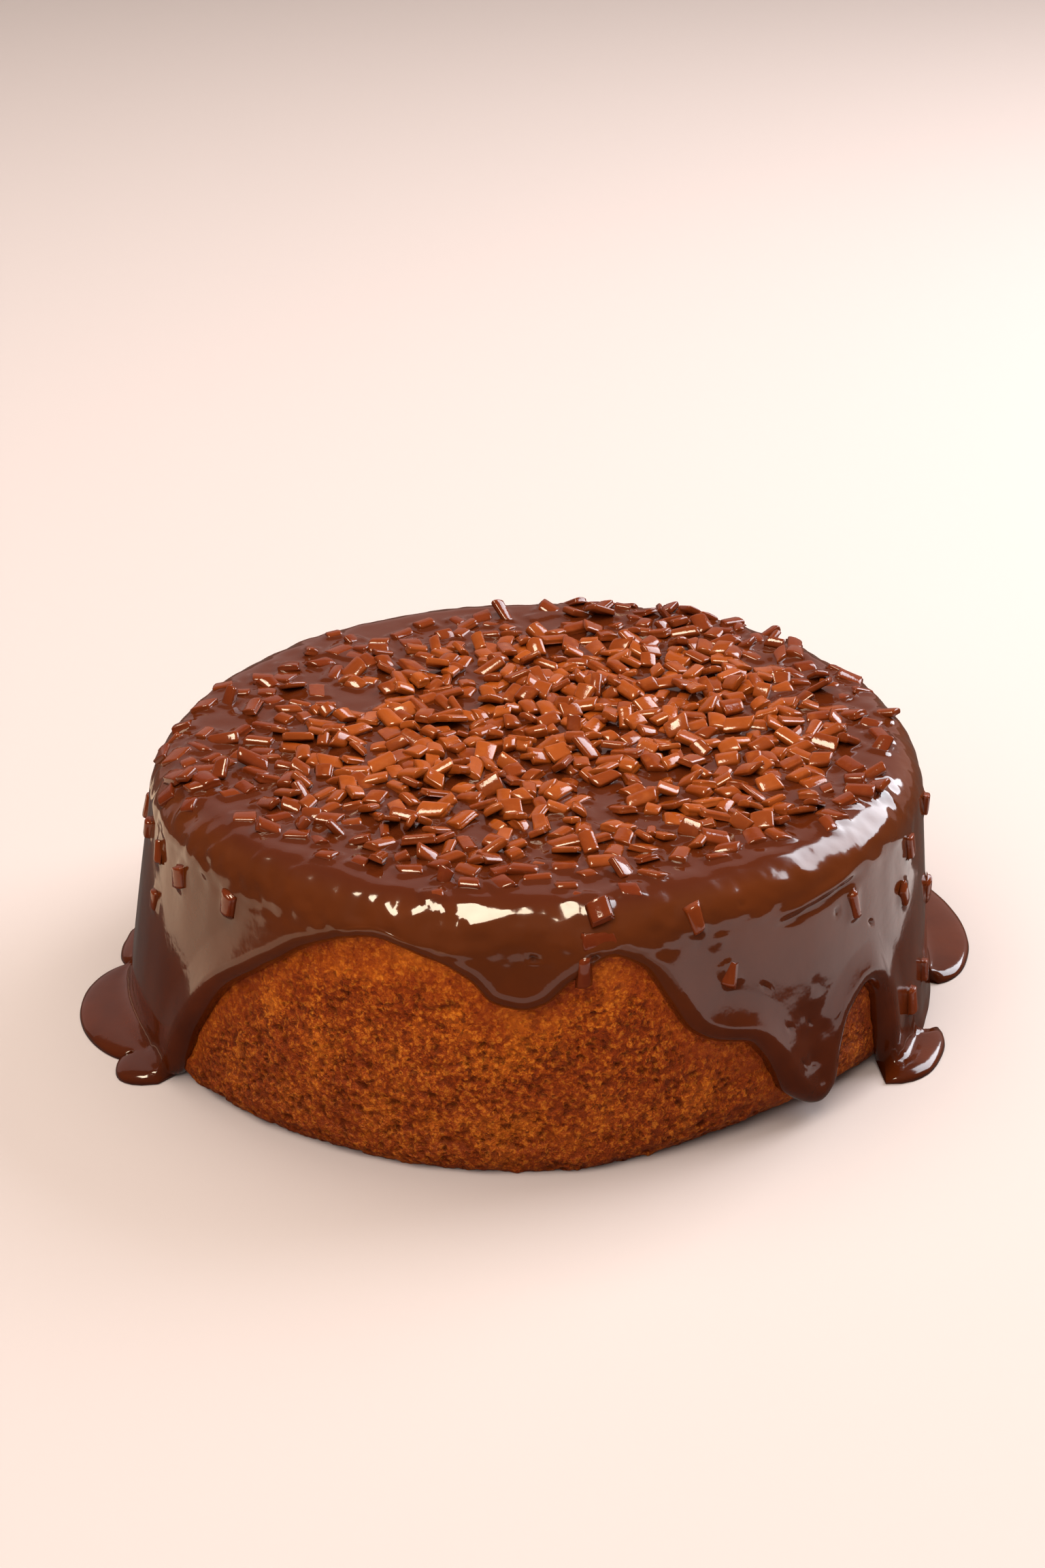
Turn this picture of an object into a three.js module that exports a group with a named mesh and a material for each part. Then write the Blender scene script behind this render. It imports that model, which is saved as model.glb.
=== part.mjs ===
// A whole round carrot cake under poured chocolate glaze, with a layer of flat chocolate flakes on top.
// Three solids: the sponge, the glaze that runs over its top and down its side, and the flake topping.
// Millimetres, +Z up, the origin at the centre of the underside. The side in front is towards -Y, and
// an angle is measured in degrees from +X, anticlockwise seen from above.

import * as THREE from "three";

// ---- driving dimensions ----
const SPONGE_RADIUS = 110; // at its widest, near the foot
const SPONGE_TOP_RADIUS = 103; // where the rounded top edge begins
const SPONGE_HEIGHT = 68.5;
const SPONGE_EDGE_RADIUS = 6; // rounding of the top edge
const FOOT_HEIGHT = 5; // the foot of the sponge rounds in below this
const FOOT_INSET = 2.5; // how far the foot rounds in
const WORN_FOOT = { angle: -52, spread: 30, inset: 6 }; // crumb lost from the foot at the front right
const LEAN = 3; // the top of the cake sits this far towards +X from its foot

const GLAZE_TOP = 73.2;
const GLAZE_THICKNESS = 3.4; // on the side
const GLAZE_SHOULDER = { out: 12.5, down: 11.5 }; // half axes of the rounded shoulder
const LIP_HEIGHT = 3.4; // the glaze rounds off to nothing over this height
const LIP_BEAD = 0.5; // how far the glaze swells just above the lip
const CLEARANCE = 0.3; // between one solid and the next

const FLAKE_LAYER = 2.6; // depth of the layer of flakes
const FLAKE_MOUND = 2; // how much deeper the layer is in the middle
const FLAKE_ROUGHNESS = 0.6; // how far the top of the layer rises and falls

const COLUMNS = { sponge: 72, glaze: 144, flakes: 72 }; // facets round the cake

// The lower edge of the glaze: angle and height of each crest, shelf and tip. At height 0 it meets the
// surface that the cake stands on.
const DRIP_LINE = [
  [-150, 0], [-144.5, 18.5], [-138.5, 34], [-132, 43], [-120, 57.5], [-111.5, 62], [-104, 58.5],
  [-98.8, 54.5], [-95.8, 48.5], [-91.8, 46.3], [-88, 48.2], [-84.5, 54], [-79, 59.7], [-75.5, 56.3],
  [-71.5, 45.5], [-68.5, 36.3], [-65, 32], [-60, 29], [-56.5, 22], [-53, 10], [-47.5, 3.8], [-44, 7],
  [-42.3, 18], [-40.5, 25.5], [-36.5, 29.3], [-33, 24], [-31.5, 8], [-30, 0], [36, 0], [43, 27],
  [55, 55], [65, 47], [71, 24], [75, 19], [80, 27], [89, 56], [102, 61.5], [112, 48], [118, 18],
  [124, 8], [129, 12], [134, 36], [144, 56], [152, 43], [158, 16], [165, 0],
];

// The edge of the flakes: angle and distance from the axis. They reach the rim at the left and at the
// back right.
const FLAKE_EDGE = [
  [-175, 99], [-148, 90], [-110, 88], [-75, 88], [-50, 91], [-15, 98], [35, 99], [75, 98], [100, 86],
  [140, 86], [165, 92],
];

// Glaze that has spread over the surface at the foot: its middle angle, the half angle that it covers,
// and how far it reaches beyond the side of the cake.
const POOLS = [
  { angle: -168.5, spread: 13.5, reach: 13 },
  { angle: -153, spread: 5, reach: 10 },
  { angle: -26, spread: 8, reach: 9 },
  { angle: 17, spread: 21, reach: 16 },
  { angle: 171, spread: 6, reach: 5 },
];

// ---- shape functions ----
const radians = THREE.MathUtils.degToRad;
const lerp = THREE.MathUtils.lerp;
const turnFrom = (from, to) => THREE.MathUtils.euclideanModulo(to - from, 360);

// A ripple round the cake: so many waves, so high, its crest at an angle.
const ripple = (angle, waves, height, crest) => height * Math.cos(radians(waves * (angle - crest)));

// How far apart two angles are, whichever way round is shorter.
const apart = (a, b) => Math.abs(turnFrom(a - 180, b) - 180);

// 1 at the middle of a bump, falling smoothly to 0 at the ends of its spread.
const bump = (angle, middle, spread) =>
  1 - THREE.MathUtils.smootherstep(apart(middle, angle), 0.25 * spread, spread);

// The side of the sponge slopes straight from its foot to its rounded top edge. It isn't quite round.
const edgeFoot = SPONGE_HEIGHT - SPONGE_EDGE_RADIUS;
function sideRadius(z, angle) {
  const uneven = ripple(angle, 1, 1.2, 180) + ripple(angle, 2, 0.5, 70) + ripple(angle, 5, 0.4, -20);
  const share = z / edgeFoot;
  return lerp(SPONGE_RADIUS, SPONGE_TOP_RADIUS, share) + ripple(angle, 1, LEAN * share, 0) + uneven;
}

// The rounded top edge of the sponge grown by an offset, from its top to its side.
function spongeEdge(offset, angle) {
  const middle = sideRadius(edgeFoot, angle) - SPONGE_EDGE_RADIUS;
  return [90, 67.5, 45, 22.5, 0].map((a) => [
    middle + (SPONGE_EDGE_RADIUS + offset) * Math.cos(radians(a)),
    edgeFoot + (SPONGE_EDGE_RADIUS + offset) * Math.sin(radians(a)),
  ]);
}

// The value at an angle of a line round the cake: a cubic through its points that never overshoots them.
function lineAt(line, angle) {
  const point = (i) => line[(i + line.length) % line.length];
  const width = (i) => turnFrom(point(i)[0], point(i + 1)[0]);
  const slope = (i) => (point(i + 1)[1] - point(i)[1]) / width(i);
  const tangent = (i) => {
    const [before, after] = [slope(i - 1), slope(i)];
    return before * after > 0 ? (2 * before * after) / (before + after) : 0;
  };
  const i = line.findIndex(([from], k) => turnFrom(from, angle) <= width(k));
  const t = turnFrom(point(i)[0], angle) / width(i);
  const u = 1 - t;
  const values = point(i)[1] * u * u * (1 + 2 * t) + point(i + 1)[1] * t * t * (1 + 2 * u);
  return values + width(i) * t * u * (tangent(i) * u - tangent(i + 1) * t);
}

// How far the pools reach out at an angle. Each one's rim is half an ellipse.
const poolReach = (angle) => Math.max(...POOLS.map((pool) => {
  const share = Math.min(apart(pool.angle, angle) / pool.spread, 1);
  return pool.reach * Math.sqrt(1 - share * share);
}));

// The outer radius of the glaze at a height: a straight side under a rounded shoulder.
function glazeRadius(z, angle) {
  const shoulderFoot = GLAZE_TOP - GLAZE_SHOULDER.down;
  const rise = THREE.MathUtils.clamp((z - shoulderFoot) / GLAZE_SHOULDER.down, 0, 1);
  const inset = GLAZE_SHOULDER.out * (1 - Math.sqrt(1 - rise * rise));
  return sideRadius(Math.min(z, shoulderFoot), angle) + GLAZE_THICKNESS - inset;
}

// The top of the glaze, level as far as the shoulder and then rounding down.
function glazeTop(angle) {
  const rim = [0, 0.04, 0.14, 0.3].map((share) => {
    const z = GLAZE_TOP - share * GLAZE_SHOULDER.down;
    return [glazeRadius(z, angle), z];
  });
  return [[0, GLAZE_TOP], [rim[0][0] / 2, GLAZE_TOP], ...rim];
}

// The height of the glaze under the flakes at a distance from the axis.
function glazeLevel(r, angle) {
  const top = glazeTop(angle);
  const n = top.findIndex((p) => p[0] > r);
  const share = (r - top[n - 1][0]) / (top[n][0] - top[n - 1][0]);
  return lerp(top[n - 1][1], top[n][1], share);
}

// ---- profiles, each from the axis above to the axis below ----
function spongeProfile(angle) {
  const worn = WORN_FOOT.inset * bump(angle, WORN_FOOT.angle, WORN_FOOT.spread);
  const foot = sideRadius(0, angle);
  return [
    [0, SPONGE_HEIGHT],
    [SPONGE_TOP_RADIUS / 2, SPONGE_HEIGHT],
    ...spongeEdge(0, angle),
    ...[42, 21].map((z) => [sideRadius(z, angle), z]),
    [sideRadius(2 * FOOT_HEIGHT, angle) - 0.1 * worn, 2 * FOOT_HEIGHT],
    [sideRadius(FOOT_HEIGHT, angle) - 0.4 * worn, FOOT_HEIGHT],
    [foot - 0.35 * FOOT_INSET - 0.8 * worn, 0.35 * FOOT_HEIGHT],
    [foot - FOOT_INSET - worn, 0],
    [SPONGE_RADIUS / 2, 0],
    [0, 0],
  ];
}

function glazeProfile(angle) {
  const edge = lineAt(DRIP_LINE, angle);
  const reach = edge > 0 ? 0 : poolReach(angle);
  const side = sideRadius(edge, angle);
  const top = glazeTop(angle);
  const lipTop = edge + LIP_HEIGHT;
  const fall = [0.12, 0.27, 0.47, 0.72].map((share) => {
    const z = lerp(top[top.length - 1][1], lipTop, share);
    return [glazeRadius(z, angle), z];
  });
  const inner = [0, 0.5].map((share) => lerp(edge, edgeFoot, share));
  return [
    ...top,
    ...fall,
    [glazeRadius(lipTop, angle) + LIP_BEAD, lipTop],
    [side + GLAZE_THICKNESS + 0.85 * reach, edge + 0.6 * LIP_HEIGHT],
    [side + 0.65 * GLAZE_THICKNESS + reach, Math.min(edge, 0.15 * LIP_HEIGHT) + edge],
    ...inner.map((z) => [sideRadius(z, angle) + CLEARANCE, z]),
    ...spongeEdge(CLEARANCE, angle).reverse(),
    [0, SPONGE_HEIGHT + CLEARANCE],
  ];
}

// The flakes lie on the glaze in an uneven layer that thins to a ragged edge.
function flakeProfile(angle) {
  const radius = lineAt(FLAKE_EDGE, angle) + ripple(angle, 9, 0.9, 0) + ripple(angle, 24, 0.8, 5);
  const level = (r) => glazeLevel(r, angle) + CLEARANCE;
  const depth = (r) => FLAKE_LAYER + FLAKE_MOUND * Math.exp(-((r / 50) ** 2));
  const rough = (r) => {
    const [x, y] = [r * Math.cos(radians(angle)), r * Math.sin(radians(angle))];
    return FLAKE_ROUGHNESS * Math.sin(0.44 * x + 0.2 * y) * Math.sin(0.41 * y - 0.23 * x);
  };
  const under = glazeTop(angle).slice(2, 5).reverse();
  return [
    [0, level(0) + depth(0)],
    ...[12, 24, 36, 47, 57, 66, 75, 82].map((r) => [r, level(r) + depth(r) + rough(r)]),
    [radius - 2, level(radius - 2) + 0.75 * FLAKE_LAYER],
    [radius, level(radius) + 0.3 * FLAKE_LAYER],
    ...[radius - 0.5, ...under.map(([r], i) => Math.min(r, radius - 1 - 0.5 * i))].map((r) => [r, level(r)]),
    [0, level(0)],
  ];
}

// ---- one closed surface from a profile that changes with the angle ----
function turned(profileAt, columns) {
  const profiles = Array.from({ length: columns }, (_, k) => profileAt((360 * k) / columns));
  const positions = [0, 0, profiles[0][0][1]];
  profiles.forEach((profile, k) => {
    const a = (2 * Math.PI * k) / columns;
    for (const [r, z] of profile.slice(1, -1)) positions.push(r * Math.cos(a), r * Math.sin(a), z);
  });
  positions.push(0, 0, profiles[0].at(-1)[1]);

  const rows = profiles[0].length - 2;
  const last = positions.length / 3 - 1;
  const at = (column, row) => 1 + (column % columns) * rows + row;
  const index = [];
  for (let k = 0; k < columns; k++) {
    index.push(0, at(k, 0), at(k + 1, 0));
    for (let i = 0; i < rows - 1; i++) {
      index.push(at(k, i), at(k, i + 1), at(k + 1, i + 1));
      index.push(at(k, i), at(k + 1, i + 1), at(k + 1, i));
    }
    index.push(at(k, rows - 1), last, at(k + 1, rows - 1));
  }
  const geometry = new THREE.BufferGeometry();
  geometry.setAttribute("position", new THREE.Float32BufferAttribute(positions, 3));
  geometry.setIndex(index);
  geometry.computeVertexNormals();
  return geometry;
}

// ---- the cake ----
function piece(name, color, roughness, profileAt, columns) {
  const material = new THREE.MeshStandardMaterial({ color, roughness, metalness: 0 });
  const mesh = new THREE.Mesh(turned(profileAt, columns), material);
  mesh.name = name;
  return mesh;
}

const cake = new THREE.Group();
cake.add(
  piece("sponge", 0x9c4a17, 0.9, spongeProfile, COLUMNS.sponge),
  piece("chocolate_glaze", 0x4a2112, 0.15, glazeProfile, COLUMNS.glaze),
  piece("chocolate_flakes", 0x7a3a1e, 0.35, flakeProfile, COLUMNS.flakes),
);

export default cake;
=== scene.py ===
# A whole round carrot cake under poured chocolate glaze, with flat chocolate flakes on its top and stuck
# to its side. Lengths are in millimetres until a mesh is made. Angles are in degrees from +X,
# anticlockwise seen from above, and the side in front is towards -Y.
import itertools
import math

import bpy
import numpy as np
from mathutils import Matrix, Vector


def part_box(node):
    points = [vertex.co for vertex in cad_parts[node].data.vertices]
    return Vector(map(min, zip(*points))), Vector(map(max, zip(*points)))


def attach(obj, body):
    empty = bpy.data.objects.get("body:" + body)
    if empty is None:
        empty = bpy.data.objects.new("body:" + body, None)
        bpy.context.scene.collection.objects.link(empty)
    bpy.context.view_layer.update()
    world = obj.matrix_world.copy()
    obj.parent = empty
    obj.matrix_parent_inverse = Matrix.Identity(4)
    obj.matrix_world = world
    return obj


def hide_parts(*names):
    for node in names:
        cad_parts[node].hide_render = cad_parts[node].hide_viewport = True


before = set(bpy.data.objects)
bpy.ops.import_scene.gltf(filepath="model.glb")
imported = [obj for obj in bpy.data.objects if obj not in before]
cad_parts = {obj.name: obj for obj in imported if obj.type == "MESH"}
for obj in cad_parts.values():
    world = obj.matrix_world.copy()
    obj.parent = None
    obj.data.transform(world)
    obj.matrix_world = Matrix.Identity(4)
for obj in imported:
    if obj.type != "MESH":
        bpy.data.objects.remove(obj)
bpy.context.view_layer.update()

MM = 0.001

# ---- the cake's own sizes, as in the CAD model ----
SPONGE_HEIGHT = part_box("sponge")[1].z / MM
GLAZE_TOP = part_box("chocolate_glaze")[1].z / MM
FOOT_RADIUS = 110.0
TOP_RADIUS = 103.0
EDGE_RADIUS = 6.0
LEAN = 3.0
FOOT_HEIGHT = 5.0
FOOT_INSET = 2.5
OUT_OF_ROUND = [(1, 1.2, 180), (2, 0.5, 70), (5, 0.4, -20)]  # waves round the cake, height, crest
WORN_FOOT = (-52, 30, 6.0)  # angle, spread, depth
WORN_HEIGHT = 11
GLAZE_THICKNESS = 3.4
SHOULDER_OUT = 12.5
SHOULDER_DOWN = 11.5
LIP_SIZE = 4.5
POOL_HEIGHT = 2.6
FILLET_HEIGHT = 4.0  # where a pool curves up into the side
FILLET_SHARE = 0.35  # of the pool's reach
LINING = 1.5  # how far the glaze reaches into the sponge
EDGE_FOOT = SPONGE_HEIGHT - EDGE_RADIUS
SHOULDER_FOOT = GLAZE_TOP - SHOULDER_DOWN

DRIP_LINE = [
    (-150, 0), (-144.5, 18.5), (-138.5, 34), (-132, 43), (-120, 57.5), (-111.5, 62), (-104, 58.5),
    (-98.8, 54.5), (-95.8, 48.5), (-91.8, 46.3), (-88, 48.2), (-84.5, 54), (-79, 59.7), (-75.5, 56.3),
    (-71.5, 45.5), (-68.5, 36.3), (-65, 32), (-60, 29), (-56.5, 22), (-53, 10), (-47.5, 3.8), (-44, 7),
    (-42.3, 18), (-40.5, 25.5), (-36.5, 29.3), (-33, 24), (-31.5, 8), (-30, 0), (36, 0), (43, 27),
    (55, 55), (65, 47), (71, 24), (75, 19), (80, 27), (89, 56), (102, 61.5), (112, 48), (118, 18),
    (124, 8), (129, 12), (134, 36), (144, 56), (152, 43), (158, 16), (165, 0),
]
DRIP_WAVER = [(0.35, 3.1, (1, 1, 1), 5)]  # as a noise, like the ones below
ON_FLOOR, LOWEST_DRIP = 0.5, 0.1  # the drip line is on the floor below the first, and else above the second
FLAKE_EDGE = [
    (-175, 99), (-148, 90), (-110, 88), (-75, 88), (-50, 91), (-15, 98), (35, 99), (75, 98), (100, 86),
    (140, 86), (165, 92),
]
# The pools at the foot: angle, spread, reach, how far the rim fans out beyond the root.
POOLS = [
    (-168.5, 13.5, 13, 0.0), (-153.2, 3.2, 10, 0.5), (-26, 4, 9, 1.3), (17, 20, 16, 0.1), (171, 6, 5, 0.0),
]

# ---- what the photograph shows on the glaze ----
# Flakes stuck to the side: angle, height, turn in degrees from upright, how far out in thicknesses,
# length, width.
WALL_FLAKES = [
    (-151, 57, 10, 0.4, 6, 5), (-138, 59, -5, 0.5, 6.2, 5.2), (-160, 43, 0, 0.4, 6, 4),
    (-160.5, 57, 15, 0.4, 6, 4), (-167.5, 58, 0, 0.5, 5, 4), (-81.1, 65.2, 90, 1.4, 8.6, 4.6),
    (-80.7, 70.4, 0, 1.6, 6, 5.6), (-83.3, 57.6, 8, 1.9, 8.4, 3.4), (-67.2, 66.6, 12, 0.5, 7.2, 4),
    (-62.6, 50.4, -25, 0.35, 6.4, 3.4), (-39.1, 55.2, 5, 0.4, 8.2, 3.2), (-24.5, 47, 30, 0.4, 6, 4),
    (-9, 34, 10, 0.4, 6, 5), (-23.5, 14, 5, 0.4, 7, 4), (-16, 16, 0, 0.4, 6, 4), (-21, 58, 10, 0.4, 6, 5),
    (-9, 60, 0, 0.5, 6, 5), (8, 40, 20, 0.4, 7, 4), (30, 52, -30, 0.4, 6, 5), (52, 62, 10, 0.4, 6, 5),
    (73, 45, 5, 0.4, 6, 4), (100, 66, 80, 0.5, 6, 5), (118, 40, -15, 0.4, 7, 4), (140, 62, 30, 0.4, 6, 5),
    (158, 50, 0, 0.4, 6, 4), (178, 52, 12, 0.4, 7, 5),
]
# Flakes that lie apart from the rest near the rim: angle, distance from the axis, turn.
LOOSE_FLAKES = [
    (-110.8, 87, 20), (-104.5, 98, 15), (-101, 84, -20), (-100, 91, 0), (-95, 84, 30), (-89, 87, 5),
    (-88.5, 79, -35), (-84.5, 92, 5), (-82.5, 98.5, -15), (-80.5, 102.5, 85), (-80.6, 86, 40),
    (-75.3, 97, 10), (-146.5, 90, 5), (-143, 83, 40), (-161, 95, 20), (-157, 98.5, -30),
    (-164, 101.5, 0), (-171, 94, 30), (-167, 90, 10), (-175, 97, 60), (-179, 101, 80), (127.7, 94, 20),
    (131.6, 83, 60), (131, 77, -20), (123, 80, 0), (117, 82, 40), (117.4, 75, 10), (156.5, 95, -10),
    (159, 88, 10), (165.5, 94.5, 80), (151, 87, 0),
]
# Where the flakes lie thickest: x, y, spread, how much.
HEAPS = [
    (10, 20, 40, 1.0), (45, 75, 25, 1.0), (-90, -25, 18, 0.8), (-62, -56, 16, 0.6), (-80, 28, 11, 0.6),
    (-10, -84, 14, 0.5), (78, -45, 15, 0.5),
]
# Small pits and burst bubbles in the glaze: angle, height, radius.
PITS = [
    (-89.8, 61.5, 1.1), (-81.8, 62, 1.1), (-56.6, 43.6, 0.8), (-46.9, 36.4, 0.6), (-59.4, 67.4, 0.7),
    (-42.9, 55.7, 0.9), (-34.8, 47, 0.9), (-49, 29, 0.6), (-44, 26, 0.7), (-52.8, 29.5, 0.7),
    (-73.3, 63.4, 0.5), (-50.4, 18.6, 0.7), (-120, 66, 0.5), (-147, 35, 0.6), (60, 60, 0.9),
    (20, 30, 0.9), (105, 66, 0.7), (148, 60, 0.8), (170, 20, 0.7), (-5, 50, 0.7), (80, 50, 0.8),
]
# Rough, dragged patches of glaze: angle, height, half width, half height, roughness.
ROUGH_PATCHES = [(-50, 30, 9, 12, 0.26), (-49, 14, 5, 7, 0.35), (-66, 62, 14, 5, 0.2)]
CREASE = [(-54, 60), (-38, 63.5)]  # the ends of the fold on the right: angle, height
RIPPLED_HEIGHTS = (56, 66)  # where the ripples of the shoulder fade in, upwards
RIPPLED_FRONT = (-115, 75)  # where they are strongest: angle, spread
BROAD_LIP = (-100, 50)  # where the glaze above the drip line bulges most: angle, spread
SAG_DEPTH, SAG_LENGTH = (1.4, 0.9), (7, 9)  # of the bulge: anywhere, and how much more of it there

# ---- how the flakes are scattered ----
FLAKE_TRIES = 6800
FLAKE_SIZE = (6.4, 4.9, 1.7)  # mean length, width, thickness
SIZE_SPREADS = [(0.22, 0.5, 1.4), (0.18, 0.55, 1.35), (0.15, 0.7, 1.35)]  # spread, least, most
SKIRT = 0.5  # how far the glaze climbs out from the foot of a flake
NO_SKIRT = -0.1
CORE_MIDDLE, CORE_REACH = (10, -3), (84, 86)  # the dry middle of the top, an oval
CORE_EDGE = (0.72, 1.05)  # where it starts and ends to fade, as shares of its reach
FLAKE_RISE, FLAKE_FADE = 0.4, 1.3  # how the glaze on the side stands out over a flake and round it
TOP_RISE, TOP_FADE = 0.6, 0.9  # and how it climbs to the flakes on top
RIM_ZONE = (80, 96)  # the distances from the axis between which the top gets more uneven
RELIEF_FADE = (73.3, 71.5)  # the heights between which the relief of the side begins
HIGHEST = 80.0  # no flake may rise above this
MAP_REACH = 112.0  # half the width of the height map that the flakes settle on
MAP_STEP = 0.5
SCATTER_REACH = 102
PAST_EDGE = 3  # how far a flake may lie beyond FLAKE_EDGE
FOOTPRINT = 0.46  # how much of its length and width a flake rests on, each way from its middle
STEEPEST = 0.9  # slope of a flake that rests on others
HIGH_GROUND = 0.93  # the quantile that stands for the highest ground under a flake
TOUCHING = 0.05  # the share of a flake that has to lie over others for them to prop it up
PROPPED, LYING = 0.8, 0.2  # how far a flake is lifted then, and else, as shares of the highest ground
PARTLY_WET, WET = 0.35, 0.1  # the shares up to which the glaze climbs to it, and up to which it has a skirt
EDGE_SHARE, BARE_SHARE, HEAP_SHARE = 0.25, 0.2, 0.3  # how many flakes fall near the rim, in gaps, in heaps
CROWDING = (0.04, 0.14, 0.30)  # how far flakes may lie over others: anywhere, in the middle, in heaps
GAPS = [(1.0, 10, (1, 1, 1), 21)]
GAP_LEVELS = (-0.5, 0.3)
SINK, RIM_SINK = 0.35, 0.4  # how deep flakes may sink in: anywhere, and near the rim
LOOSE_SINK = 0.45
ALWAYS = 1.1  # a share that no flake's cover reaches, so that it is laid in any case
LEAN_SPREAD = 0.22
TOPPLED = (0.16, 2.2)  # the share of the flakes that lean more, and how much more
SKEW, CURL, BEND = 0.07, 0.09, 0.045  # how uneven the flakes are
CORNER_CUT = 0.14
DOME = (0.1, 0.55)

# ---- rows and columns of points ----
GLAZE_COLUMNS = 640
SHOULDER_ROWS = 24
WALL_ROWS = 54
ROW_CROWDING = 1.3  # how much closer together they get towards the drip line
POOL_ROWS = 16
FILLET_ROWS = 6
HUB_REACH, HUB_STEP = 12.0, 2.0  # inside this radius the top has a tenth of the columns
PLAIN_REACH, PLAIN_STEP = 58.0, 1.1  # and inside this one half of them
RIM_ROWS = 38
SPONGE_ROWS = 90
HIDDEN_CRUMB = 6  # how far the crumb goes on above the drip line
CLOSE_CRUMB = (9, 21)  # the distances below its top between which the crumb opens up
BARE_SPONGE = [(-151, -29), (35, 166)]  # angles where the crumb shows below the glaze
CRUMB_STEP, HIDDEN_STEP = 0.265, 3.0  # degrees between columns

# ---- the uneven surfaces, as noises: height, size of the bumps, squeeze, seed ----
WALL_FOLDS = [(0.3, 19, (1, 1, 0.4), 31), (0.16, 7, (1, 1, 0.25), 32)]
SHOULDER_RIPPLES = [(0.45, 8, (1, 1, 1.4), 54), (0.46, 4, (1, 1, 1.4), 53), (0.2, 2.2, (1, 1, 1.2), 38)]
ROUGHNESS = [(1.0, 3.5, (1, 1, 1), 35), (0.5, 1.8, (1, 1, 0.5), 36)]
CRUMB_CELLS = (0.45, 1.7, (1, 1, 1.15), 50)
CRUMB_LUMPS = [(0.5, 12, (1, 1, 1), 41), (0.5, 4, (0.8, 0.8, 1.3), 42)]
CRUMB_GRAIN = [(0.35, 2.1, (1, 1, 1), 43), (0.25, 1.1, (1, 1, 1), 44)]
# Hollows in the crumb: size of a cell, squeeze, seed, radius and soft edge as shares of the cell, then the
# seed and the levels of the noise that says where they are.
PORES = (2.4, (1, 1, 1.5), 45, 0.45, 0.22, 48, (-0.35, 0.25))
HOLES = (7.0, (0.85, 0.85, 1.4), 46, 0.25, 0.1, 49, (0.0, 0.25))
HOLLOW_PATCHES = 5.0
PORE_DEPTH, HOLE_DEPTH = 0.7, 1.1
CRUMB_BACK = 0.6  # how far the crumb lies behind the solid's side, so that its lumps end near it

# ---- colours, as linear light ----
CRUMB_TONES = [
    (0.27, (0.08, 0.009, 0.0006)), (0.39, (0.27, 0.037, 0.0017)), (0.52, (0.49, 0.093, 0.005)),
    (0.66, (0.80, 0.24, 0.018)),
]
DARK_CRUMB = (0.22, 0.028, 0.002)
GOLDEN_CRUMB = (0.62, 0.15, 0.008)
# Painted shade inside the deep hollows of the crumb.
PAINTED_HOLLOW_SHADE = (0.05, 0.006, 0.001)
# Painted shade in the small pores.
PAINTED_PORE_SHADE = (0.07, 0.008, 0.001)
# Painted shade that darkens the crumb towards the foot.
PAINTED_FOOT_SHADE = (0.13, 0.022, 0.004)
GLAZE_TONES = [(0.35, (0.050, 0.0078, 0.0012)), (0.7, (0.076, 0.0125, 0.0018))]
THIN_GLAZE = (0.098, 0.022, 0.0035)
LEVEL_GLAZE = (0.06, 0.010, 0.002)
FLAKE_TONES = [(0.0, (0.15, 0.024, 0.003)), (0.5, (0.20, 0.036, 0.004)), (1.0, (0.25, 0.050, 0.006))]
PALE_FLAKE = (0.38, 0.10, 0.02)
COATED_FLAKE = (0.09, 0.012, 0.003)
WET_FLAKE = (0.085, 0.014, 0.0025)
FLOOR_COLOUR = (0.46, 0.385, 0.36)
WORLD_COLOUR = (1.0, 0.84, 0.74)


# ---- smooth random fields ----
AXIS_FACTORS = (0x9E3779B97F4A7C15, 0xC2B2AE3D27D4EB4F, 0x165667B19E3779F9)
SEED_FACTOR = 0x27D4EB2F
MIXING = ((29, 0xBF58476D1CE4E5B9), (32, 0x94D049BB133111EB), (31, 1))  # shift, factor


def hashed(cells, seed):
    """A fixed random number from 0 to 1 for each row of whole numbers."""
    h = np.uint64(seed * SEED_FACTOR)
    for i, factor in enumerate(AXIS_FACTORS):
        h = h ^ cells[:, i].astype(np.uint64) * np.uint64(factor)
    for shift, factor in MIXING:
        h = (h ^ (h >> np.uint64(shift))) * np.uint64(factor)
    return (h >> np.uint64(11)).astype(float) / 2.0**53


def noise(points, size, seed):
    """Smooth noise from -1 to 1, its bumps about size across."""
    scaled = points / size
    cell = np.floor(scaled).astype(np.int64)
    share = scaled - cell
    share = share * share * (3 - 2 * share)
    total = np.zeros(len(points))
    for corner in itertools.product((0, 1), repeat=3):
        weight = np.prod(np.where(corner, share, 1 - share), axis=1)
        total += weight * (2 * hashed(cell + corner, seed) - 1)
    return total


def layered(points, layers):
    """A sum of noises, each given as its height, the size of its bumps, a squeeze and a seed."""
    return sum(height * noise(points * squeeze, size, seed) for height, size, squeeze, seed in layers)


def cell_distance(points, size, seed):
    """Distance to the nearest of the points scattered one to a cell, as a share of the cell size."""
    scaled = points / size
    cell = np.floor(scaled).astype(np.int64)
    nearest = np.full(len(points), np.inf)
    for corner in itertools.product((-1, 0, 1), repeat=3):
        there = cell + corner
        jitter = np.stack([hashed(there, seed + k) for k in range(3)], axis=1)
        nearest = np.minimum(nearest, np.sum((there + jitter - scaled) ** 2, axis=1))
    return np.sqrt(nearest)


def smooth_step(value, low, high):
    """0 at low and 1 at high, with a smooth rise between them."""
    t = np.clip((value - low) / (high - low), 0, 1)
    return t * t * (3 - 2 * t)


# ---- the shape of the cake ----
def ripple(angle, waves, height, crest):
    """A wave that runs round the cake, with one of its crests at an angle."""
    return height * np.cos(np.radians(waves * (angle - crest)))


def turn(start, end):
    """The way round from one angle to another, from -180 to 180."""
    return (end - start + 180) % 360 - 180


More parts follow.
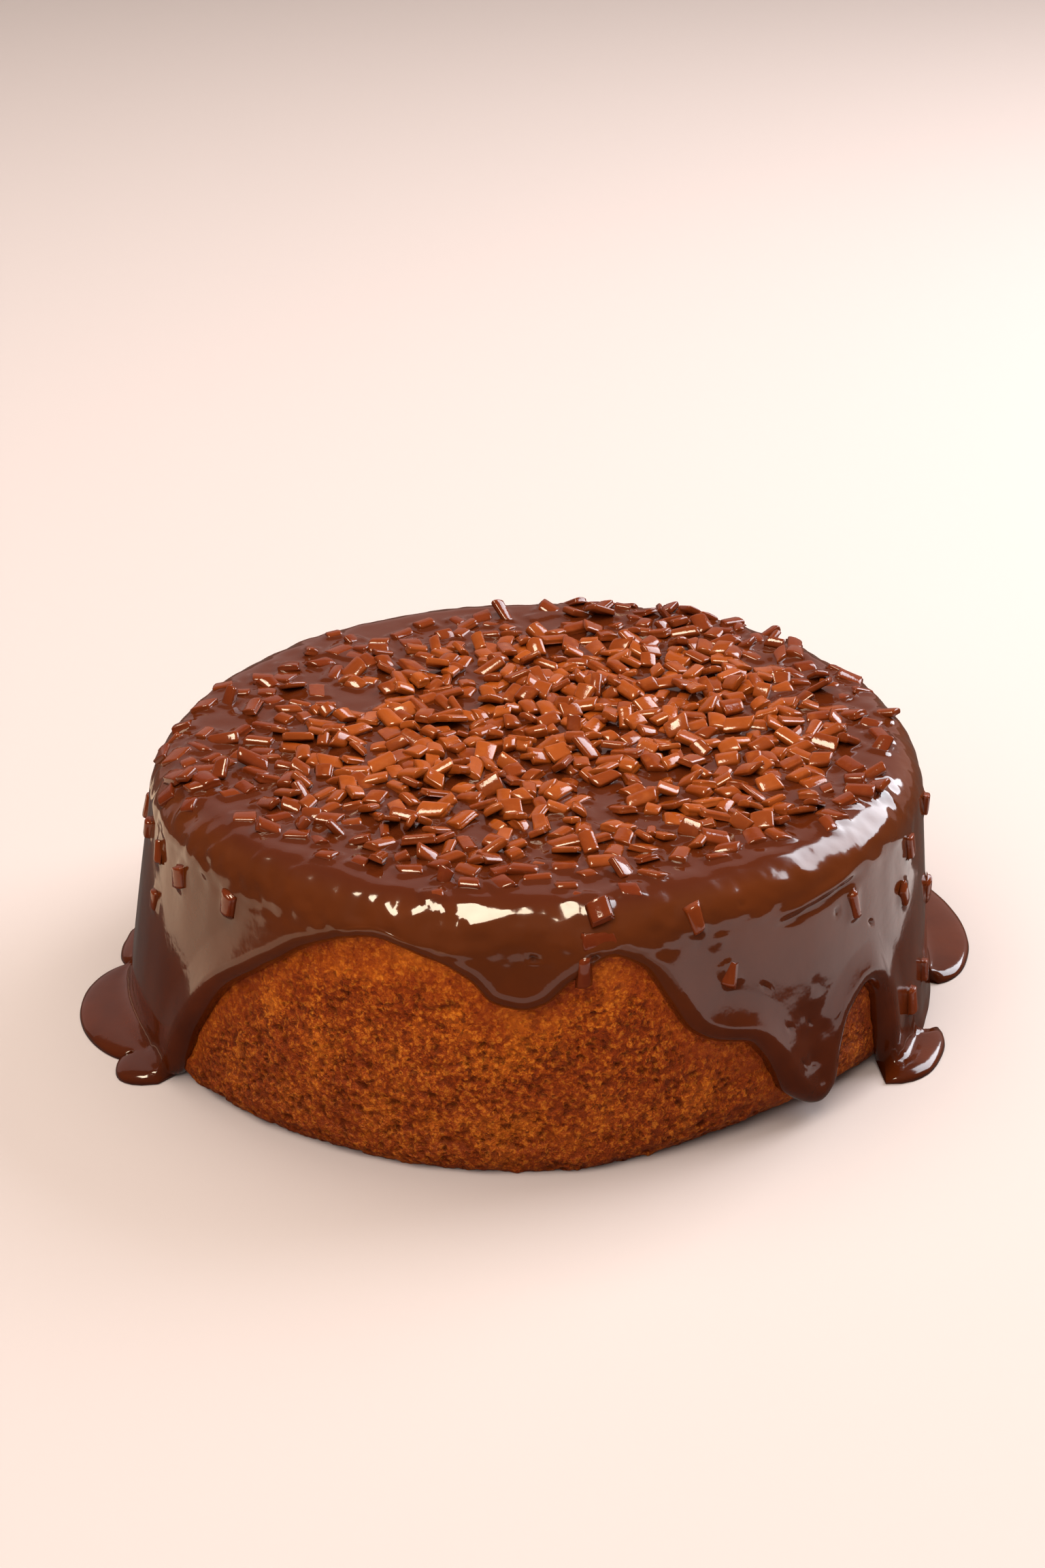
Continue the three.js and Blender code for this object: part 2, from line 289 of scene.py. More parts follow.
def bump(angle, middle, spread):
    """1 round the middle angle, falling to 0 at the spread."""
    return 1 - smooth_step(np.abs(turn(middle, angle)), 0.25 * spread, spread)


def side_radius(z, angle):
    """The distance of the sponge's side from the axis."""
    uneven = sum(ripple(angle, *wave) for wave in OUT_OF_ROUND)
    share = z / EDGE_FOOT
    return FOOT_RADIUS + (TOP_RADIUS - FOOT_RADIUS) * share + ripple(angle, 1, LEAN * share, 0) + uneven


def line_at(line, angle):
    """The value at each angle of a line round the cake: a cubic through its points, without overshoot."""
    at, value = np.array(line, float).T
    width = (np.roll(at, -1) - at) % 360
    slope = (np.roll(value, -1) - value) / width
    before = np.roll(slope, 1)
    total = np.where(slope * before > 0, slope + before, 1)
    tangent = np.where(slope * before > 0, 2 * slope * before / total, 0)
    along = (angle[:, None] - at) % 360
    i = np.argmin(along, axis=1)
    j = (i + 1) % len(at)
    t = along[np.arange(len(angle)), i] / width[i]
    u = 1 - t
    values = value[i] * u * u * (1 + 2 * t) + value[j] * t * t * (1 + 2 * u)
    return values + width[i] * t * u * (tangent[i] * u - tangent[j] * t)


def glaze_radius(z, angle):
    """The distance of the glaze's surface from the axis, with the rounded shoulder."""
    rise = np.clip((z - SHOULDER_FOOT) / SHOULDER_DOWN, 0, 1)
    inset = SHOULDER_OUT * (1 - np.sqrt(1 - rise * rise))
    return side_radius(np.minimum(z, SHOULDER_FOOT), angle) + GLAZE_THICKNESS - inset


def glaze_level(x, y):
    """The height of the glaze's top at points near or inside the rim."""
    angle = np.degrees(np.arctan2(y, x))
    rim = glaze_radius(GLAZE_TOP, angle)
    out = np.clip((np.hypot(x, y) - rim) / SHOULDER_OUT, 0, 0.97)
    return SHOULDER_FOOT + SHOULDER_DOWN * np.sqrt(1 - out * out)


def drip_edge(angle):
    """The height of the lower edge of the glaze, a little wavy where it isn't on the floor."""
    waver = layered(np.stack([angle, angle * 0, angle * 0], axis=1), DRIP_WAVER)
    height = line_at(DRIP_LINE, angle)
    return np.where(height > ON_FLOOR, np.maximum(height + waver, LOWEST_DRIP), height)


def pools(angle):
    """How far the pools reach out from the foot, and how many degrees their rims swing sideways."""
    reach = np.zeros(len(angle))
    swing = np.zeros(len(angle))
    for middle, spread, furthest, fan in POOLS:
        away = turn(middle, angle)
        here = furthest * np.sqrt(np.clip(1 - (away / spread) ** 2, 0, 1))
        swing = np.where(here > reach, fan * away, swing)
        reach = np.maximum(here, reach)
    return reach, swing


def on_wall(angle, z):
    """A point on the side of the glaze with its outward direction, for one angle and height."""
    a, step = math.radians(angle), 0.5
    here = float(glaze_radius(np.array(z), np.array(angle)))
    below = float(glaze_radius(np.array(z - step), np.array(angle)))
    slope = math.atan2(below - here, step)
    outward = Vector((math.cos(a) * math.cos(slope), math.sin(a) * math.cos(slope), math.sin(slope)))
    return Vector((here * math.cos(a), here * math.sin(a), z)), outward


# ---- mesh making ----
def add_mesh(name, points, faces, material):
    """A smooth mesh object from points in millimetres and arrays of faces with three or four corners."""
    mesh = bpy.data.meshes.new(name)
    mesh.vertices.add(len(points))
    mesh.vertices.foreach_set("co", (np.asarray(points) * MM).astype(np.float32).ravel())
    loops = np.concatenate([f.ravel() for f in faces])
    sizes = np.concatenate([np.full(len(f), f.shape[1]) for f in faces])
    mesh.loops.add(len(loops))
    mesh.loops.foreach_set("vertex_index", loops.astype(np.int32))
    mesh.polygons.add(len(sizes))
    mesh.polygons.foreach_set("loop_start", np.concatenate([[0], np.cumsum(sizes)[:-1]]).astype(np.int32))
    mesh.update(calc_edges=True)
    mesh.validate()
    mesh.shade_smooth()
    mesh.materials.append(material)
    piece = bpy.data.objects.new(name, mesh)
    bpy.context.scene.collection.objects.link(piece)
    return piece


def add_attribute(piece, name, values):
    attribute = piece.data.attributes.new(name, "FLOAT", "POINT")
    attribute.data.foreach_set("value", np.asarray(values, np.float32))


def ring_faces(counts):
    """Faces that join rings of vertices, each ring as long as the one before or a whole multiple of it."""
    starts = np.concatenate([[0], np.cumsum(counts)])
    quads, tris = [], []
    for first, second, a, b in zip(counts, counts[1:], starts, starts[1:]):
        k = np.arange(second)
        near, far = b + k, b + (k + 1) % second
        if first == second:
            quads.append(np.stack([a + k, near, far, a + (k + 1) % first], axis=1))
            continue
        if first < second:
            many = second // first
            tris.append(np.stack([a + (k // many) % first, near, far], axis=1))
            if first > 1:
                c = np.arange(first)
                corner = b + (c * many + many) % second
                tris.append(np.stack([a + c, corner, a + (c + 1) % first], axis=1))
            continue
        many = first // second
        k = np.arange(first)
        tris.append(np.stack([a + k, b + (k // many) % second, a + (k + 1) % first], axis=1))
        if second > 1:
            c = np.arange(second)
            corner = a + (c * many + many) % first
            tris.append(np.stack([b + c, b + (c + 1) % second, corner], axis=1))
    return [np.concatenate(group) for group in (quads, tris) if group]


def circle(count):
    """Angles spaced evenly all the way round, from -180 to 180."""
    angle = np.arange(count) * 360.0 / count
    return np.where(angle > 180, angle - 360, angle)


def around(radius, z, angle):
    """Points at distances from the axis, heights and angles."""
    a = np.radians(angle)
    return np.stack([radius * np.cos(a), radius * np.sin(a), z + 0 * radius], axis=1)


# ---- the flakes: where they lie ----
def flake_core(x, y):
    """1 in the middle of the top, where the flakes lie close and dry, down to 0 near the rim."""
    away = np.hypot((x - CORE_MIDDLE[0]) / CORE_REACH[0], (y - CORE_MIDDLE[1]) / CORE_REACH[1])
    return 1 - smooth_step(away, *CORE_EDGE)


class HeightMap:
    """Heights over the top of the cake on a square grid, raised by each flake that is put down."""

    def __init__(self):
        line = np.arange(-MAP_REACH, MAP_REACH + MAP_STEP, MAP_STEP)
        self.x, self.y = np.meshgrid(line, line, indexing="ij")
        self.height = glaze_level(self.x, self.y)
        self.covered = np.zeros(self.x.shape, bool)
        self.wetting = np.full(self.x.shape, 9.0)  # distance to the nearest flake that sits in the glaze

    def window(self, x, y, reach):
        """The part of the grid within reach of a point."""
        low = [int((v + MAP_REACH - reach) / MAP_STEP) for v in (x, y)]
        high = [int((v + MAP_REACH + reach) / MAP_STEP) + 1 for v in (x, y)]
        return slice(max(low[0], 0), high[0]), slice(max(low[1], 0), high[1])

    def local(self, x, y, spin, window):
        """The places in a window as seen from a flake: along it and across it."""
        dx, dy = self.x[window] - x, self.y[window] - y
        return dx * math.cos(spin) + dy * math.sin(spin), dy * math.cos(spin) - dx * math.sin(spin)

    def settle(self, x, y, spin, size, sink, crowd):
        """Puts a flake down and returns its middle, its upward direction and whether it sits in the glaze.

        Returns None where the others leave it no room.
        """
        window = self.window(x, y, 0.6 * size[0] + 1)
        u, v = self.local(x, y, spin, window)
        under = (np.abs(u) < FOOTPRINT * size[0]) & (np.abs(v) < FOOTPRINT * size[1])
        full = self.covered[window][under].mean()
        if full > crowd:
            return None
        xs, ys, hs = (g[window][under] for g in (self.x, self.y, self.height))
        terms = np.stack([np.ones(len(xs)), xs - x, ys - y], axis=1)
        fit = np.linalg.lstsq(terms, hs, rcond=None)[0]
        slope = math.hypot(fit[1], fit[2])
        if slope > STEEPEST:
            fit[1:] *= STEEPEST / slope
        above = hs - terms @ fit
        lift = np.quantile(above, HIGH_GROUND) * (PROPPED if full > TOUCHING else LYING)
        base = fit[0] + lift - sink
        flat = math.sqrt(1 + fit[1] ** 2 + fit[2] ** 2)
        top = base + fit[1] * (xs - x) + fit[2] * (ys - y) + size[2] * flat
        if top.max() > HIGHEST:
            return None
        self.height[window][under] = np.maximum(hs, top)
        self.covered[window][under] = True
        if full < PARTLY_WET:
            self.wet_round(x, y, spin, size)
        middle = Vector((x, y, base + 0.5 * size[2]))
        return middle, Vector((-fit[1], -fit[2], 1)).normalized(), full < WET

    def wet_round(self, x, y, spin, size):
        """Notes how far the glaze round a flake lies from it."""
        window = self.window(x, y, 0.5 * size[0] + 4)
        u, v = self.local(x, y, spin, window)
        out = np.hypot(np.maximum(np.abs(u) - 0.5 * size[0], 0), np.maximum(np.abs(v) - 0.5 * size[1], 0))
        self.wetting[window] = np.minimum(self.wetting[window], out)

    def sample(self, grid, x, y):
        """The grid's values at any points, between the ones that it holds."""
        i = np.clip((x + MAP_REACH) / MAP_STEP, 0, grid.shape[0] - 1.001)
        j = np.clip((y + MAP_REACH) / MAP_STEP, 0, grid.shape[1] - 1.001)
        i0, j0 = i.astype(int), j.astype(int)
        s, t = i - i0, j - j0
        near = grid[i0, j0] * (1 - s) + grid[i0 + 1, j0] * s
        far = grid[i0, j0 + 1] * (1 - s) + grid[i0 + 1, j0 + 1] * s
        return near * (1 - t) + far * t


def upright(direction, spin):
    """A turning matrix that takes +Z to a direction after a turn about +Z."""
    tilt = Vector((0, 0, 1)).rotation_difference(direction)
    return tilt.to_matrix() @ Matrix.Rotation(spin, 3, "Z")


def random_size(rng):
    """Length, width and thickness of one flake."""
    size = []
    for mean, (spread, least, most) in zip(FLAKE_SIZE, SIZE_SPREADS):
        size.append(mean * np.clip(rng.normal(1, spread), least, most))
    return size


def scatter_on_top(rng, ground):
    """The flakes on the top: (middle, turning matrix, size, width of the wet skirt) for each."""
    laid = []
    for angle, out, spin in LOOSE_FLAKES:
        x, y = out * math.cos(math.radians(angle)), out * math.sin(math.radians(angle))
        size = random_size(rng)
        middle, up, _ = ground.settle(x, y, math.radians(spin), size, LOOSE_SINK, ALWAYS)
        laid.append((middle, upright(up, math.radians(spin)), size, SKIRT))
    x, y = rng.uniform(-SCATTER_REACH, SCATTER_REACH, (2, FLAKE_TRIES))
    room = line_at(FLAKE_EDGE, np.degrees(np.arctan2(y, x))) - np.hypot(x, y)
    core = flake_core(x, y)
    patchy = smooth_step(layered(np.stack([x, y, 0 * x], axis=1), GAPS), *GAP_LEVELS)
    heap = sum(share * np.exp(-((x - a) ** 2 + (y - b) ** 2) / wide**2) for a, b, wide, share in HEAPS)
    likely = (EDGE_SHARE + (1 - EDGE_SHARE) * core) * (BARE_SHARE + (1 - BARE_SHARE) * patchy)
    likely += HEAP_SHARE * heap
    crowd = CROWDING[0] + CROWDING[1] * core + CROWDING[2] * heap
    for i in range(FLAKE_TRIES):
        if room[i] < -PAST_EDGE or rng.random() > likely[i]:
            continue
        spin = rng.uniform(0, math.pi)
        size = random_size(rng)
        sink = rng.uniform(0.0, SINK) + RIM_SINK * (1 - core[i])
        spot = ground.settle(x[i], y[i], spin, size, sink, crowd[i])
        if spot is None:
            continue
        middle, up, wet = spot
        lean = Vector((rng.normal(0, LEAN_SPREAD), rng.normal(0, LEAN_SPREAD), 0))
        if rng.random() < TOPPLED[0]:
            lean *= TOPPLED[1]
        lift = 0.4 * size[0] * min(lean.length, 0.8)  # of its higher end
        middle.z = min(middle.z + 0.6 * lift, HIGHEST - 0.5 * size[2] - lift)
        skirt = SKIRT if wet and lean.length < 0.4 else NO_SKIRT
        laid.append((middle, upright((up + lean).normalized(), spin), size, skirt))
    return laid


def scatter_on_wall(rng):
    """The flakes on the side, in the same form."""
    laid = []
    for angle, z, spin, lift, length, width in WALL_FLAKES:
        spot, outward = on_wall(angle, z)
        size = (length, width, random_size(rng)[2])
        along = Vector((0, 0, 1)) - outward * outward.z
        across = along.cross(outward)
        turned = Matrix((along.normalized(), -across.normalized(), outward)).transposed()
        turned = turned @ Matrix.Rotation(math.radians(spin), 3, "Z")
        tip, roll = rng.uniform(-0.2, 0.15), rng.normal(0, 0.2)
        turned = turned @ Matrix.Rotation(tip, 3, "Y") @ Matrix.Rotation(roll, 3, "X")
        laid.append((spot + outward * (lift * size[2]), turned, size, SKIRT))
    return laid


# ---- the flakes: their mesh ----
# Places of the points on the top of a flake, as shares of half its length and half its width.
FLAKE_U = (-0.9, -0.72, 0.72, 0.9)
FLAKE_V = (-0.86, -0.6, 0, 0.6, 0.86)
FLAKE_BROW = 0.92  # height of the outermost of them
# The rings round the rim of a flake, downwards: share of its width, height, 1 where the skirt spreads.
FLAKE_RINGS = [(0.975, 0.7, 0), (1.0, 0.3, 0), (1.0, -0.5, 0), (1.0, -1.0, 1)]


def flake_template():
    """Points of one flake as (u, v, w, skirt): a domed top grid and rings down to the underside."""
    long, wide = len(FLAKE_U), len(FLAKE_V)
    grid = [(u, v) for u in FLAKE_U for v in FLAKE_V]
    border = [(0, j) for j in range(wide)] + [(i, wide - 1) for i in range(1, long)]
    border += [(long - 1, j) for j in range(wide - 2, -1, -1)] + [(i, 0) for i in range(long - 2, 0, -1)]
    rim = [i * wide + j for i, j in border]
    points = [(u, v, 1.0, 0) for u, v in grid]
    for k in rim:
        points[k] = (*grid[k], FLAKE_BROW, 0)
    for out, w, skirt in FLAKE_RINGS:
        points += [(out * grid[k][0] / FLAKE_U[-1], out * grid[k][1] / FLAKE_V[-1], w, skirt) for k in rim]
    quads = []
    for i in range(long - 1):
        for j in range(wide - 1):
            quads.append((i * wide + j, (i + 1) * wide + j, (i + 1) * wide + j + 1, i * wide + j + 1))
    count = len(rim)
    rings = [rim] + [[long * wide + r * count + k for k in range(count)] for r in range(len(FLAKE_RINGS))]
    for upper, lower in zip(rings, rings[1:]):
        for k in range(count):
            after = (k + 1) % count
            quads.append((upper[k], upper[after], lower[after], lower[k]))
    bottom = rings[-1]
    fans = [(bottom[0], bottom[k], bottom[k + 1]) for k in range(1, count - 1)]
    return np.array(points), np.array(quads), np.array(fans)


def flake_points(template, place, rng):
    """The template's points as one flake, skewed, domed and curled at random."""
    middle, turned, size, skirt = place
    u, v, w, foot = template.T
    skew = rng.normal(0, SKEW, 4)
    corner = 1 - CORNER_CUT * np.clip(np.abs(u) + np.abs(v) - 1.4, 0, 1)
    x = (0.5 * size[0] * (1 + skew[0] * v) * corner + foot * skirt) * u + skew[2] * v * size[1]
    y = (0.5 * size[1] * (1 + skew[1] * u) * corner + foot * skirt) * v + skew[3] * u * size[0]
    dome = rng.uniform(*DOME)
    curl = rng.uniform(0.0, CURL) * size[1]
    z = 0.5 * size[2] * np.where(w > 0, w * (1 - dome * v * v), w) + curl * (0.4 - v * v)
    z -= rng.normal(0.01, BEND) * size[0] * u * u
    return np.stack([x, y, z], axis=1) @ np.array(turned).T + np.array(middle)


def make_flakes(name, places, rng, material):
    template, quads, fans = flake_template()
    points = np.concatenate([flake_points(template, place, rng) for place in places])
    offset = (np.arange(len(places)) * len(template))[:, None, None]
    faces = [(f[None] + offset).reshape(-1, f.shape[1]) for f in (quads, fans)]
    piece = add_mesh(name, points, faces, material)
    add_attribute(piece, "tone", np.repeat(rng.random(len(places)), len(template)))
    x, y, z = points.T
    out = np.hypot(x, y) - glaze_radius(np.minimum(z, GLAZE_TOP), np.degrees(np.arctan2(y, x)))
    add_attribute(piece, "dry", smooth_step(np.maximum(z - glaze_level(x, y), out), 0.0, 1.0))
    add_attribute(piece, "inner", flake_core(x, y))
    return piece


# ---- the glaze ----
def glaze_rows(edge):
    """Heights of the rows of points from the rim of the top down to the drip line."""
    split = np.maximum(SHOULDER_FOOT, edge + LIP_SIZE)
    last = np.arcsin((split - SHOULDER_FOOT) / SHOULDER_DOWN)
    along = np.linspace(0, 1, SHOULDER_ROWS)[:, None]
    shoulder = SHOULDER_FOOT + SHOULDER_DOWN * np.sin(math.pi / 2 + (last - math.pi / 2) * along)
    above = (1 - np.linspace(0, 1, WALL_ROWS + 1)[1:, None]) ** ROW_CROWDING
    return np.concatenate([shoulder, edge + (split - edge) * above])


def drip_distance(edge, z):
    """Distance along the side from each point to the drip line, which is tried a few columns each way."""
    columns, below, far = 15, -9, 99.0
    step = math.radians(360 / len(edge)) * FOOT_RADIUS
    line = np.where(edge > 0, edge, below)
    nearest = np.full(z.shape, far)
    for k in range(-columns, columns):
        low, high = np.roll(line, -k), np.roll(line, -k - 1)
        rise = high - low
        share = np.clip((-k * step * step + (z - low) * rise) / (step * step + rise * rise), 0, 1)
        nearest = np.minimum(nearest, np.hypot((k + share) * step, z - low - share * rise))
    return nearest


def wall_relief(angle, z):
    """How far the side of the glaze stands out at each point: folds, flakes, pits and drag marks."""
    points = around(FOOT_RADIUS + 0 * z, z, angle)
    high = smooth_step(z, *RIPPLED_HEIGHTS) * (0.4 + 0.6 * bump(angle, *RIPPLED_FRONT))
    out = layered(points, WALL_FOLDS) + high * layered(points, SHOULDER_RIPPLES)
    for at, height, spin, _, length, width in WALL_FLAKES:
        x, y = np.radians(turn(at, angle)) * FOOT_RADIUS, z - height
        s = math.radians(spin)
        u, v = y * math.cos(s) + x * math.sin(s), x * math.cos(s) - y * math.sin(s)
        away = np.hypot(np.maximum(np.abs(u) - 0.4 * length, 0), np.maximum(np.abs(v) - 0.4 * width, 0))
        out += FLAKE_RISE * np.exp(-((away / FLAKE_FADE) ** 2))
    for at, height, size in PITS:
        away = np.hypot(np.radians(turn(at, angle)) * FOOT_RADIUS, z - height) / size
        rim = 0.1 * size * np.exp(-(((away - 1.15) / 0.3) ** 2))
        out += rim - 1.3 * size * np.exp(-((away / 0.8) ** 4))
    for at, height, wide, tall, rise in ROUGH_PATCHES:
        x = np.radians(turn(at, angle)) * FOOT_RADIUS
        here = np.exp(-(((x / wide) ** 2 + ((z - height) / tall) ** 2) ** 2))
        out += here * rise * layered(points, ROUGHNESS)
    return out + crease(angle, z)


def crease(angle, z):
    """The fold where the glaze was dragged along below the rim: a ridge with a groove under it."""
    (start, start_z), (end, end_z) = CREASE
    length = math.radians(end - start) * FOOT_RADIUS
    along = np.radians(turn(start, angle)) * FOOT_RADIUS / length
    above = z - start_z - (end_z - start_z) * along
    here = smooth_step(along, -0.1, 0.25) * (1 - smooth_step(along, 0.75, 1.1))
    return here * (0.7 * np.exp(-(((above - 1.3) / 1.5) ** 2)) - 1.0 * np.exp(-(((above + 1) / 1.1) ** 2)))


def pool_profile():
    """The rows over a pool, from the side of the glaze to the rim: share of the reach, height."""
    fillet = np.radians(np.linspace(0, 90, FILLET_ROWS + 1))[:-1, None]
    brim = np.radians(np.linspace(0, 90, POOL_ROWS - FILLET_ROWS))[:, None]
    share = [FILLET_SHARE * (1 - np.cos(fillet)), FILLET_SHARE + (1 - FILLET_SHARE) * np.sin(brim)]
    height = [POOL_HEIGHT + FILLET_HEIGHT * (1 - np.sin(fillet)), POOL_HEIGHT * np.cos(brim) ** 0.6]
    return np.concatenate(share), np.concatenate(height)


def glaze_side(angle):
    """The drip line, and the rings of points from the rim of the top down to it and out over the pools."""
    edge = drip_edge(angle)
    z = glaze_rows(edge)
    away = drip_distance(edge, z)
    lip = np.sqrt(1 - (1 - np.clip(away / LIP_SIZE, 0, 1)) ** 2)
    radius = glaze_radius(z, angle) - (1 - lip) * GLAZE_THICKNESS
    slow = bump(angle, *BROAD_LIP)
    sag = 1 - np.clip((away - LIP_SIZE - 1) / (SAG_LENGTH[0] + SAG_LENGTH[1] * slow), 0, 1)
    depth = SAG_DEPTH[0] + SAG_DEPTH[1] * slow
    radius += lip * depth * (sag - 0.12 * np.sin(np.pi * sag))
    tall = np.radians(90 - 90 * np.clip((z - SHOULDER_FOOT) / SHOULDER_DOWN, 0, 1) ** 1.3)
    every = np.broadcast_to(angle, z.shape)
    relief = wall_relief(every.ravel(), z.ravel()).reshape(z.shape) * lip
    relief *= smooth_step(z, *RELIEF_FADE)
    reach, swing = pools(angle)
    reach = np.where(edge > 0, 0, reach)
    share, low = pool_profile()
    wet = smooth_step(reach, 0, 3)
    radius[-POOL_ROWS:] += reach * share
    z[-POOL_ROWS:] += wet * (low - z[-POOL_ROWS:])
    bent = every.copy()
    bent[-POOL_ROWS:] += swing * share**2
    rings = []
    for k in range(len(z)):
        steep = np.sin(tall[k])
        rings.append(around(radius[k] + relief[k] * steep, z[k] + relief[k] * np.cos(tall[k]), bent[k]))
    return edge, rings


def make_glaze(ground, material):
    angle = circle(GLAZE_COLUMNS)
    inner = circle(GLAZE_COLUMNS // 2)
    hub = circle(GLAZE_COLUMNS // 10)
    rim = glaze_radius(GLAZE_TOP, angle)
    shares = np.linspace(0, 1, RIM_ROWS + 1)[:-1]
    top = [np.array([[0, 0, GLAZE_TOP]])]
    top += [around(r + 0 * hub, GLAZE_TOP, hub) for r in np.arange(HUB_STEP, HUB_REACH, HUB_STEP)]
    top += [around(r + 0 * inner, GLAZE_TOP, inner) for r in np.arange(HUB_REACH, PLAIN_REACH, PLAIN_STEP)]
    top += [around(PLAIN_REACH + (rim - PLAIN_REACH) * share, GLAZE_TOP, angle) for share in shares]
    edge, side = glaze_side(angle)
    lining = []
    for share in (0.0, 0.3, 1.0):
        height = edge + share * (EDGE_FOOT - edge)
        lining.append(around(side_radius(height, angle) - LINING, height, angle))
    lining.append(around(TOP_RADIUS - 10 + 0 * hub, SPONGE_HEIGHT - 1, hub))
    lining.append(np.array([[0, 0, SPONGE_HEIGHT - 1.0]]))
    rings = top + side + lining
    counts = [len(ring) for ring in rings]
    points = np.concatenate(rings)
    outer = np.arange(len(points)) < sum(counts[: len(top) + SHOULDER_ROWS])
    level = points[outer]
    near_rim = smooth_step(np.hypot(level[:, 0], level[:, 1]), *RIM_ZONE)
    rise = (0.12 + 0.22 * near_rim) * noise(level, 13, 37) + (0.1 + 0.15 * near_rim) * noise(level, 5, 38)
    away = ground.sample(ground.wetting, level[:, 0], level[:, 1])
    rise += TOP_RISE * np.exp(-((away / TOP_FADE) ** 2))
    points[outer, 2] += rise * smooth_step(level[:, 2], SHOULDER_FOOT, GLAZE_TOP - 3)
    points[:, 2] = np.maximum(points[:, 2], 0)
    return add_mesh("glaze_coat", points, ring_faces(counts), material)


# ---- the sponge ----
def sponge_angles():
    """The angles of the sponge's columns: close together where the crumb shows below the glaze."""
    columns = []
    for (start, end), (after, _) in zip(BARE_SPONGE, BARE_SPONGE[1:] + BARE_SPONGE[:1]):
        columns.append(np.arange(start, end, CRUMB_STEP))
        columns.append(np.arange(end, end + (after - end) % 360, HIDDEN_STEP))
    return np.concatenate(columns)


def hollows(points, kind):
    """1 inside the hollows of one kind and 0 in the crumb between them."""
    size, squeeze, seed, radius, edge, patch_seed, levels = kind
    inside = smooth_step(radius - cell_distance(points * squeeze, size, seed), 0, edge)
    return inside * smooth_step(noise(points, HOLLOW_PATCHES, patch_seed), *levels)


def crumb_depth(points, coarse):
    """How far the crumb stands out at each point of the side, and how deep its pores are there."""
    height, size, squeeze, seed = CRUMB_CELLS
    grain = height * (0.5 - cell_distance(points * squeeze, size, seed)) + layered(points, CRUMB_GRAIN)
    pores, holes = hollows(points, PORES), hollows(points, HOLES)
    deep = np.clip(0.9 * pores + holes - 1.5 * grain, 0, 1)
    rough = grain - PORE_DEPTH * pores - HOLE_DEPTH * holes
    return layered(points, CRUMB_LUMPS) + coarse * rough - CRUMB_BACK, coarse * deep


def make_sponge(material):
    angle = sponge_angles()
    edge = drip_edge(angle)
    high = np.minimum(edge + HIDDEN_CRUMB, EDGE_FOOT)
    worn = WORN_FOOT[2] * bump(angle, WORN_FOOT[0], WORN_FOOT[1])
    flat = 0 * angle
    lid, lid_radius, floor_radius = SPONGE_HEIGHT - 0.5, TOP_RADIUS - 8, 95
    rings = [np.array([[0, 0, lid]]), around(lid_radius + flat, lid, angle)]
    coarse = []  # how open the crumb is: closer below the glaze
    for share in np.linspace(1, 0, SPONGE_ROWS):
        z = high * share
        low = np.clip(1 - z / FOOT_HEIGHT, 0, 1)
        curl = FOOT_INSET * low**2 + worn * np.clip(1 - z / WORN_HEIGHT, 0, 1) ** 1.5
        rings.append(around(side_radius(z, angle) - curl, z, angle))
        coarse.append(0.4 + 0.6 * smooth_step(high - z, *CLOSE_CRUMB))
    coarse = np.concatenate(coarse)
    rings += [around(floor_radius + flat, 0, angle), np.array([[0, 0, 0.0]])]
    counts = [len(ring) for ring in rings]
    points = np.concatenate(rings)
    side = slice(1 + len(angle), -1 - len(angle))
    crumb = points[side]
    out = crumb * (1, 1, 0)
    out /= np.linalg.norm(out, axis=1)[:, None]
    depth, deep = crumb_depth(crumb, coarse)
    points[side] = crumb + out * depth[:, None]
    piece = add_mesh("sponge_crumb", points, ring_faces(counts), material)
    # The pit attribute tells the material where to paint shade into the deep hollows.
    for name, values in (("pit", deep), ("coarse", coarse)):
        everywhere = np.zeros(len(points))
        everywhere[side] = values
        add_attribute(piece, name, everywhere)
    return piece


